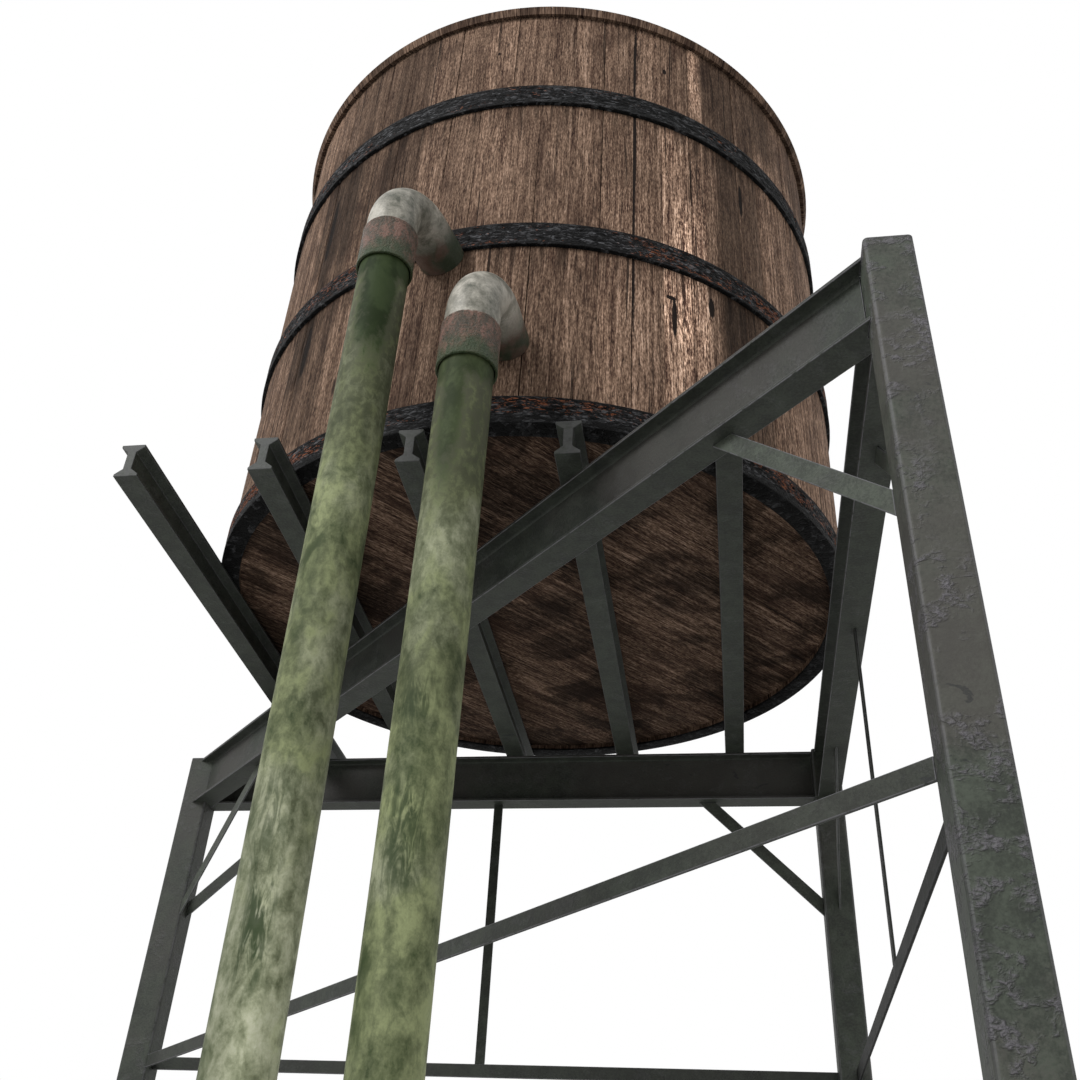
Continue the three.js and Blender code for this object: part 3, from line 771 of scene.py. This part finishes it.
def bottom_tree():
    """Straight boards side by side, each end cut to the round of the tank bottom."""
    work = BoardBench("bottom_boards", ("Radius", "Low", "High", "Joint", "Heading"), (5, 40, 3))
    given, across, up = work.given, work.across, work.up
    width = given["Radius"] * 2.0 / given["Count"]
    offset = (work.own + 0.5 + across) * width - given["Radius"] - across * given["Joint"]
    room = (given["Radius"] * given["Radius"] - offset * offset).at_least(0.0004) ** 0.5
    along = work.deep * 2.0 * room
    edge = (across * 2.0).absolute().rise(0.90, 1.0)
    sunk = (0.5 - up) * (edge * EDGE_SINK + work.chance("bottom sink"))
    z = given["Low"] + (up + 0.5) * (given["High"] - given["Low"]) + sunk
    cos, sin = given["Heading"].cosine(), given["Heading"].sine()
    place = work.on_axis(along * cos - offset * sin, along * sin + offset * cos, z)
    grain = work.join(across * width, along, work.own * 2.9)
    return work.finish(place, grain, work.chance("bottom tone"))


def roof_tree():
    """Tapered boards from the eave up to the cap, sloped and cut as the solid roof is."""
    rows = 25
    labels = ("Radius", "Wall", "Inner", "Cap", "Seat", "Thickness", "Slope", "Joint")
    work = BoardBench("roof_boards", labels, (4, 3, rows))
    given, own, slope = work.given, work.own, work.given["Slope"]
    step = (2 * math.pi) / given["Count"]
    row = (work.up + 0.5) * (rows - 1.0)
    overhang = row.at_most(1.0)
    seat = (row - 1.0).at_least(0.0).at_most(1.0)
    inward = (row - 2.0).at_least(0.0) / (rows - 3.0)
    under = work.deep + 0.5
    lean = under * (1.0 - overhang) * given["Thickness"] * slope / (1.0 + slope * slope) ** 0.5
    radius = given["Radius"] - overhang * (given["Radius"] - given["Wall"]) \
        - seat * (given["Wall"] - given["Inner"]) - inward * (given["Inner"] - given["Cap"]) - lean
    side = work.across * 2.0
    edge = side.absolute().rise(0.6, 1.0) * inward.rise(0.0, 0.15)
    angle = (own + 0.5 + work.across) * step - side * given["Joint"] * 0.5 / radius
    under_line = given["Seat"] + (given["Wall"] - radius) * slope
    top = under_line + given["Thickness"] * (1.0 + slope * slope) ** 0.5
    skin_top = top - edge * EDGE_SINK - work.chance("roof sink") * inward.rise(0.0, 0.1)
    low = under_line - seat * (1.0 - inward.over(0.0)) * (given["Wall"] - radius) * slope
    z = skin_top + (low - skin_top) * under
    place = work.on_axis(radius * angle.cosine(), radius * angle.sine(), z)
    grain = work.join(work.across * step * radius, radius, own * 3.1)
    return work.finish(place, grain, work.chance("roof tone"))


def merged_copy(node):
    """A merged copy of a node's loose triangles, with flat areas joined into single faces."""
    same_point, flat = 2e-5, math.radians(0.4)
    work = bmesh.new()
    work.from_mesh(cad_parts[node].data)
    bmesh.ops.remove_doubles(work, verts=work.verts, dist=same_point)
    bmesh.ops.dissolve_limit(work, angle_limit=flat, verts=work.verts, edges=work.edges)
    return work


def rounded_member(node, rounding):
    """A steel member with rounded corners.

    Attributes mark its worn edges, its upright faces and the side of a leg that gets painted shade; on a
    leg's rounded corners and a joist's front faces the edge mark is painted light.
    """
    corner_degrees = 50
    work = merged_copy(node)
    wear_and_light_mark, upright_mark, painted_shade_mark = (
        work.faces.layers.float.new(name) for name in ("edge", "upright", "lee"))
    corners = [edge for edge in work.edges
               if len(edge.link_faces) == 2 and edge.calc_face_angle(0) > math.radians(corner_degrees)]
    made = bmesh.ops.bevel(work, geom=corners, offset=rounding, offset_type="OFFSET", segments=2,
                           profile=0.5, affect="EDGES", clamp_overlap=True)
    for face in work.faces:
        normal = face.normal
        face[upright_mark] = 1.0 if abs(normal.z) < 0.3 else 0.0
        face[painted_shade_mark] = 1.0 if normal.x < -0.7 and node.startswith("leg") else 0.0
        # A leg's rounded corners get part of the wear mark, as painted highlights along them
        slanted = min(abs(normal.x), abs(normal.y)) > 0.2 and abs(normal.z) < 0.1
        if slanted and node.startswith("leg"):
            face[wear_and_light_mark] = 0.45
        # A joist's front faces get the wear mark too, as painted light where they face the front
        if normal.y < -0.5 and node.startswith("joist"):
            face[wear_and_light_mark] = 0.60
    for face in made["faces"]:
        face[wear_and_light_mark] = 1.0
    mesh = bpy.data.meshes.new(node + "_dressed")
    work.to_mesh(mesh)
    work.free()
    smooth_by_angle(mesh, corner_degrees)
    return mesh


def weigh_normals(piece):
    modifier = piece.modifiers.new("weigh", "WEIGHTED_NORMAL")
    modifier.keep_sharp = True


def skin(name, rings, degrees, marks):
    """Joins rings of points into a closed skin, smooth below an angle; a mark has one value a point."""
    steps = len(rings[0])
    points = [point for ring in rings for point in ring]
    faces = []
    for row in range(len(rings)):
        here, above = row * steps, (row + 1) % len(rings) * steps
        for step in range(steps):
            after = (step + 1) % steps
            faces.append((here + step, here + after, above + after, above + step))
    mesh = outward_mesh(name, points, faces)
    smooth_by_angle(mesh, degrees)
    for label, values in marks.items():
        vector = isinstance(values[0], tuple)
        layer = mesh.attributes.new(label, "FLOAT_VECTOR" if vector else "FLOAT", "POINT")
        if vector:
            layer.data.foreach_set("vector", [part for value in values for part in value])
        else:
            layer.data.foreach_set("value", values)
    return mesh


def outward_mesh(name, points, faces):
    mesh = bpy.data.meshes.new(name)
    mesh.from_pydata(points, [], faces)
    work = bmesh.new()
    work.from_mesh(mesh)
    bmesh.ops.recalc_face_normals(work, faces=work.faces)
    work.to_mesh(mesh)
    work.free()
    return mesh


def circle(radius, z, steps, centre):
    """A level ring of points that starts at the back."""
    turn = 2 * math.pi / steps
    return [(centre.x + radius * math.sin(k * turn), centre.y + radius * math.cos(k * turn), z)
            for k in range(steps)]


def hoop_mesh(node, relief, foot=0.0):
    """An iron hoop with a rough, wavy coating on its face; foot is how far it turns in under the staves."""
    low, high = heights(node)
    outer = half_width(node) - INSET
    inner = WALL_RADIUS + HOOP_GAP
    steps, rows, corner_rows = 1500, 24, 5
    corner, foot_thickness, foot_edge, foot_share = 0.006, 0.012, 0.003, 0.34
    ripples_round, ripples_up = 13.0, 44.0
    # A hoop with a foot rusts more to the left: how much, from how far left of the axis, and the ease
    left_rust, left_start, left_ease = 0.24, 1.0, 0.8
    rings, ridge, rust = [], [], []

    def add(radius, z, rough=0.0, rusty=-1.0):
        ring = []
        for x, y, height in circle(radius, z, steps, TANK):
            spot = Vector((x * ripples_round, y * ripples_round, height * ripples_up))
            crest = 1.0 - abs(noise.fractal(spot, 0.9, 2.1, 4)) * 1.9
            sink = rough * relief * (1.0 - crest)
            shrink = 1.0 - sink / radius
            ring.append((TANK.x + (x - TANK.x) * shrink, TANK.y + (y - TANK.y) * shrink, height))
            # The ridge mark is high on the crests of the coating, where the hoop finish paints highlights
            ridge.append(0.20 + 0.50 * crest * rough)
            left = max(0.0, (TANK.x - left_start - x) / left_ease) if foot else 0.0
            rust.append(rusty + left_rust * left)
        rings.append(ring)

    for k in range(corner_rows + 1):
        turn = k / corner_rows * math.pi / 2
        rough = 0.1 * k / corner_rows
        add(outer - corner * (1 - math.sin(turn)), low + corner * (1 - math.cos(turn)), rough)
    for k in range(1, rows):
        share = k / rows
        rusty = FOOT_RUST if foot and share <= foot_share else HOOP_RUST[node]
        # Smoother towards both edges
        lower = max(0.1, 8 * (share - 0.16)) if foot else 5 * share
        rough = min(1.0, lower, 7 * (1 - share))
        add(outer, low + corner + share * (high - low - 2 * corner), rough, rusty)
    add(outer - 0.001, high - 0.002)
    add(outer - 0.005, high)
    add(inner, high)
    if foot:
        add(inner, low + foot_thickness)
        add(inner - foot, low + foot_thickness)
        add(inner - foot, low + foot_edge)
        add(inner - foot + foot_edge, low)
    else:
        add(inner, low)
    return skin(node + "_coated", rings, 60, {"ridge": ridge, "rust": rust})


def pipe_mesh(node, own):
    """A smooth round pipe with a seam at the back, where its wrapped grain starts."""
    low, high = heights(node)
    centre = middle(node)
    outer = half_width(node)
    bore = outer - PIPE_WALL
    rows, edge = 60, 0.001
    rings, wrap = [], []

    def add(radius, z):
        rings.append(circle(radius, z, ROUND_STEPS, centre))
        wrap.extend(((k / ROUND_STEPS - 0.5) * 2 * math.pi * outer, z, own) for k in range(ROUND_STEPS))

    add(bore, low)
    add(outer - edge, low)
    for k in range(rows + 1):
        add(outer, low + edge + k / rows * (high - low - 2 * edge))
    add(outer - edge, high)
    add(bore, high)
    return skin(node + "_weathered", rings, 50, {"wrap": wrap})


class ElbowLine:
    """The centre line of an elbow: up through the collar, round the bend and out to the tank."""

    def __init__(self, side):
        size = sizes()
        pipe = middle("pipe_" + side)
        self.foot = heights("elbow_" + side)[0]
        self.rise = size.collar_length + size.elbow_rise
        self.bend = getattr(size, "bend_" + side)
        heading = getattr(size, "heading_" + side)
        self.centre = Vector((pipe.x, pipe.y, 0))
        self.out = Vector((math.cos(heading), math.sin(heading), 0))
        self.aside = Vector((-math.sin(heading), math.cos(heading), 0))

    def ring(self, along, radius):
        """A ring at a distance along the line from the mouth; past the bend it stays at the bend's end."""
        straight = min(along, self.rise)
        turn = min((along - straight) / self.bend, math.pi / 2)
        up = Vector((0, 0, 1))
        spot = self.centre + up * (self.foot + straight + self.bend * math.sin(turn)) \
            + self.out * (self.bend * (1 - math.cos(turn)))
        across = up * math.sin(turn) - self.out * math.cos(turn)
        angles = [2 * math.pi * k / ROUND_STEPS for k in range(ROUND_STEPS)]
        return [spot + radius * (math.cos(angle) * self.aside + math.sin(angle) * across)
                for angle in angles]

    def reach(self, point):
        """Distance from a point, straight out, to the tank wall or to the hoop that stands out from it."""
        low, high = heights("hoop_middle")
        wall = half_width("hoop_middle") if low < point.z < high else WALL_RADIUS
        wall += ELBOW_GAP
        offset = Vector((point.x - TANK.x, point.y - TANK.y, 0))
        half = offset.dot(self.out)
        return -half - math.sqrt(half * half - offset.length_squared + wall * wall)


def elbow_mesh(side):
    """A cast elbow: its pipe's socket, the rough collar, the bend, and an arm that ends at the tank."""
    size = sizes()
    line = ElbowLine(side)
    pipe = half_width("pipe_" + side)
    bore, socket = pipe - PIPE_WALL, pipe + ELBOW_GAP
    collar, body = size.collar_radius - INSET, size.elbow_radius
    lip, shoulder, mouth_bevel, past_pipe, dent_depth = 0.006, 0.012, 0.014, 0.058, 0.0022
    lip_rows, collar_rows, shoulder_rows, bend_rows, arm_rows, bore_rows = 4, 22, 5, 60, 8, 30
    full = line.rise + line.bend * math.pi / 2
    # The arm mark starts this far along from the collar to the bend's end, and is 1 at the tank
    arm_start = 0.72
    rings, arm, rough = [], [], []

    def add(ring, share=0.0, coarse=0.0):
        rings.append([tuple(point) for point in ring])
        arm.extend([share] * ROUND_STEPS)
        rough.extend([coarse] * ROUND_STEPS)

    def coarse_ring(along, radius):
        ring = line.ring(along, radius)
        axis = line.ring(along, 0.0)[0]
        for k, point in enumerate(ring):
            dent = dent_depth * (0.5 - 0.5 * noise.fractal(point * 42.0, 0.8, 2.0, 3))
            ring[k] = point + (axis - point).normalized() * dent
        return ring

    stop = size.collar_length - past_pipe
    add(line.ring(stop, bore))
    add(line.ring(stop, socket))
    add(line.ring(mouth_bevel, socket))
    add(line.ring(0.0, pipe + lip), coarse=1.0)
    for k in range(lip_rows + 1):
        turn = k / lip_rows * math.pi / 2
        add(line.ring(lip * (1 - math.cos(turn)), collar - lip * (1 - math.sin(turn))), coarse=1.0)
    for k in range(1, collar_rows):
        along = lip + (size.collar_length - lip - shoulder) * k / collar_rows
        add(coarse_ring(along, collar), coarse=1.0)
    for k in range(shoulder_rows + 1):
        turn = k / shoulder_rows * math.pi / 2
        along = size.collar_length - shoulder * (1 - math.sin(turn))
        add(line.ring(along, body + (collar - body) * math.cos(turn)), coarse=1.0 - k / shoulder_rows)
    for k in range(1, bend_rows + 1):
        along = size.collar_length + (full - size.collar_length) * k / bend_rows
        add(line.ring(along, body), max(0.0, k / bend_rows - arm_start))
    end = line.ring(full, body)
    reaches = [line.reach(point) for point in end]
    for k in range(1, arm_rows + 1):
        ring = [point + line.out * (far * k / arm_rows) for point, far in zip(end, reaches)]
        add(ring, 1.0 - arm_start * (1.0 - k / arm_rows))
    hollow = line.ring(full, bore)
    add([point + line.out * line.reach(point) for point in hollow], 1.0)
    for k in range(bore_rows, -1, -1):
        add(line.ring(size.collar_length + (full - size.collar_length) * k / bore_rows, bore))
    return skin("elbow_" + side + "_cast", rings, 50, {"arm": arm, "collar": rough})


def cap_mesh():
    """The round board that closes the peak of the roof."""
    radius, slope = sizes().cap_radius, sizes().roof_slope
    edge, side_low, thickness, centre_hole = 0.006, 0.030, 0.034, 0.0006
    top = ROOF_HIGH - INSET

    def height(r):
        return top - r * slope

    rows = [(radius - edge, height(radius) - thickness), (radius - INSET, height(radius) - side_low),
            (radius - INSET, height(radius) - edge), (radius - edge, height(radius - edge))]
    rows += [(radius * share, height(radius * share)) for share in (0.75, 0.5, 0.25, 0.004)]
    rows += [(centre_hole, height(0) - thickness)]
    rings = [circle(r, z, ROUND_STEPS, TANK) for r, z in rows]
    grain = [(x - TANK.x, y - TANK.y, 4.0) for ring in rings for x, y, _ in ring]
    return skin("roof_cap_board", rings, 40, {"grain": grain, "tone": [0.9] * len(grain)})


# Operators

class TOWER_OT_staves(bpy.types.Operator):
    """Makes the tank's upright staves"""
    bl_idname = "tower.staves"
    bl_label = "Tank staves"

    def execute(self, context):
        size = sizes()
        drips = [heights(node)[0] for node in ("hoop_middle", "hoop_upper")]
        material = timber_finish("stave_timber", colours().timber, drips=drips, marks=STAVE_MARKS)
        lay_boards("tank_staves", stave_tree(), material, "weathered_timber", "tank_wall", {
            "Count": size.stave_count, "Radius": WALL_RADIUS, "Thickness": size.stave_thickness,
            "Low": WALL_LOW, "High": WALL_HIGH, "Joint": size.stave_joint})
        return {"FINISHED"}


class TOWER_OT_bottom(bpy.types.Operator):
    """Lays the boards of the tank bottom"""
    bl_idname = "tower.bottom"
    bl_label = "Tank bottom"

    def execute(self, context):
        size = sizes()
        low, high = heights("tank_bottom")
        radius = half_width("tank_bottom")
        material = timber_finish("bottom_timber", tinted(colours().timber, 0.92), damp=1.0)
        lay_boards("bottom_boards", bottom_tree(), material, "bottom_boards", "tank_bottom", {
            "Count": round(2 * radius / size.board_width), "Radius": radius, "Low": low, "High": high,
            "Joint": size.stave_joint, "Heading": size.board_heading})
        return {"FINISHED"}


class TOWER_OT_hoops(bpy.types.Operator):
    """Makes the three iron hoops with their rough coating"""
    bl_idname = "tower.hoops"
    bl_label = "Hoops"

    def execute(self, context):
        size = sizes()
        material = hoop_finish()
        for node in ("hoop_lower", "hoop_middle", "hoop_upper"):
            foot = size.stave_thickness if node == "hoop_lower" else 0.0
            mesh = hoop_mesh(node, size.hoop_relief, foot)
            new_piece(node + "_coated", mesh, material, "hoop_iron", node)
        return {"FINISHED"}


class TOWER_OT_roof(bpy.types.Operator):
    """Lays the roof boards and the cap of the roof"""
    bl_idname = "tower.roof"
    bl_label = "Roof"

    def execute(self, context):
        size = sizes()
        cap_overlap = 0.03
        material = timber_finish("roof_timber", tinted(colours().timber, 0.85), damp=0.4)
        lay_boards("roof_boards", roof_tree(), material, "weathered_timber", "roof", {
            "Count": size.roof_count, "Radius": EAVE_RADIUS, "Wall": WALL_RADIUS, "Inner": size.roof_inner,
            "Cap": size.cap_radius - cap_overlap, "Seat": WALL_HIGH + size.seat_gap,
            "Thickness": size.roof_thickness, "Slope": size.roof_slope, "Joint": size.roof_joint})
        weigh_normals(new_piece("roof_cap", cap_mesh(), material, "weathered_timber", "roof"))
        return {"FINISHED"}


class TOWER_OT_pipes(bpy.types.Operator):
    """Makes the two pipes and their elbows"""
    bl_idname = "tower.pipes"
    bl_label = "Pipes and elbows"

    def execute(self, context):
        size = sizes()
        for number, side in enumerate(("left", "right")):
            pipe, elbow = "pipe_" + side, "elbow_" + side
            mouth = heights(elbow)[0]
            wet = pipe_finish(side, mouth)
            new_piece(pipe + "_weathered", pipe_mesh(pipe, number * PIPE_STEP), wet, "pipe_paint", pipe)
            pale = elbow_finish(elbow + "_grey", mouth, mouth + size.collar_length)
            new_piece(elbow + "_cast", elbow_mesh(side), pale, "elbow_paint", elbow)
        return {"FINISHED"}


class TOWER_OT_steel(bpy.types.Operator):
    """Rounds and paints the legs, beams, joists and bars"""
    bl_idname = "tower.steel"
    bl_label = "Steel frame"

    def execute(self, context):
        paints = {kind: frame_finish(kind + "_paint", **paint) for kind, paint in FRAME_PAINTS.items()}
        for node in STEEL_NODES:
            paint = paints.get(node, paints[node.split("_")[0]])
            mesh = rounded_member(node, sizes().edge_round)
            weigh_normals(new_piece(node + "_steel", mesh, paint, "frame_paint", node))
        return {"FINISHED"}


class TOWER_OT_stage(bpy.types.Operator):
    """Sets the floor, the light and the camera"""
    bl_idname = "tower.stage"
    bl_label = "Stage"

    def execute(self, context):
        scene = context.scene
        half, z = 60, -0.002
        corners = [(-half, -half, z), (half, -half, z), (half, half, z), (-half, half, z)]
        floor = put_in("floor", outward_mesh("floor", corners, [(0, 1, 2, 3)]))
        floor.data.materials.append(Finish("floor_pale", (0.62, 0.62, 0.61, 1)).close(0.9))

        world = bpy.data.worlds.new("studio")
        world.use_nodes = True
        background = world.node_tree.nodes["Background"]
        background.inputs["Color"].default_value = (1, 1, 1, 1)
        background.inputs["Strength"].default_value = 1.0
        scene.world = world
        scene.view_settings.view_transform = "Standard"

        key = bpy.data.lights.new("key", "AREA")
        key.shape = "DISK"
        key.size = 7.0
        key.energy = 1800
        lamp = put_in("key", key)
        lamp.location = (-7.0, -11.0, 13.0)
        lamp.rotation_euler = (Vector((0.4, 0.6, 6.0)) - lamp.location).to_track_quat("-Z", "Y").to_euler()

        camera = bpy.data.cameras.new("camera")
        camera.lens = 39.4357
        camera.sensor_width = 36.0
        camera.clip_start = 0.05
        camera.clip_end = 300
        yaw, pitch, roll = math.radians(-10.115), math.radians(35.051), math.radians(3.4865)
        turn = Matrix.Rotation(-yaw, 4, "Z") @ Matrix.Rotation(math.pi / 2 + pitch, 4, "X") \
            @ Matrix.Rotation(roll, 4, "Z")
        eye = put_in("camera", camera)
        eye.matrix_world = Matrix.Translation((1.494, -5.438, 1.6)) @ turn
        scene.camera = eye
        return {"FINISHED"}


class TOWER_PT_panel(bpy.types.Panel):
    """Lists the steps that dress the tower"""
    bl_idname = "TOWER_PT_panel"
    bl_label = "Water Tower"
    bl_space_type = "VIEW_3D"
    bl_region_type = "UI"
    bl_category = "Water Tower"

    def draw(self, context):
        column = self.layout.column()
        for operator in STEPS:
            column.operator(operator.bl_idname)


STEPS = (TOWER_OT_stage, TOWER_OT_staves, TOWER_OT_bottom, TOWER_OT_hoops, TOWER_OT_roof, TOWER_OT_pipes,
         TOWER_OT_steel)
CLASSES = (TowerSizes, TowerColours, *STEPS, TOWER_PT_panel)


def register():
    for item in CLASSES:
        bpy.utils.register_class(item)
    bpy.types.Scene.tower_sizes = bpy.props.PointerProperty(type=TowerSizes)
    bpy.types.Scene.tower_colours = bpy.props.PointerProperty(type=TowerColours)


def unregister():
    del bpy.types.Scene.tower_colours
    del bpy.types.Scene.tower_sizes
    for item in reversed(CLASSES):
        bpy.utils.unregister_class(item)


def main():
    register()
    for step in STEPS:
        group, name = step.bl_idname.split(".")
        getattr(getattr(bpy.ops, group), name)()


if __name__ == "__main__":
    main()
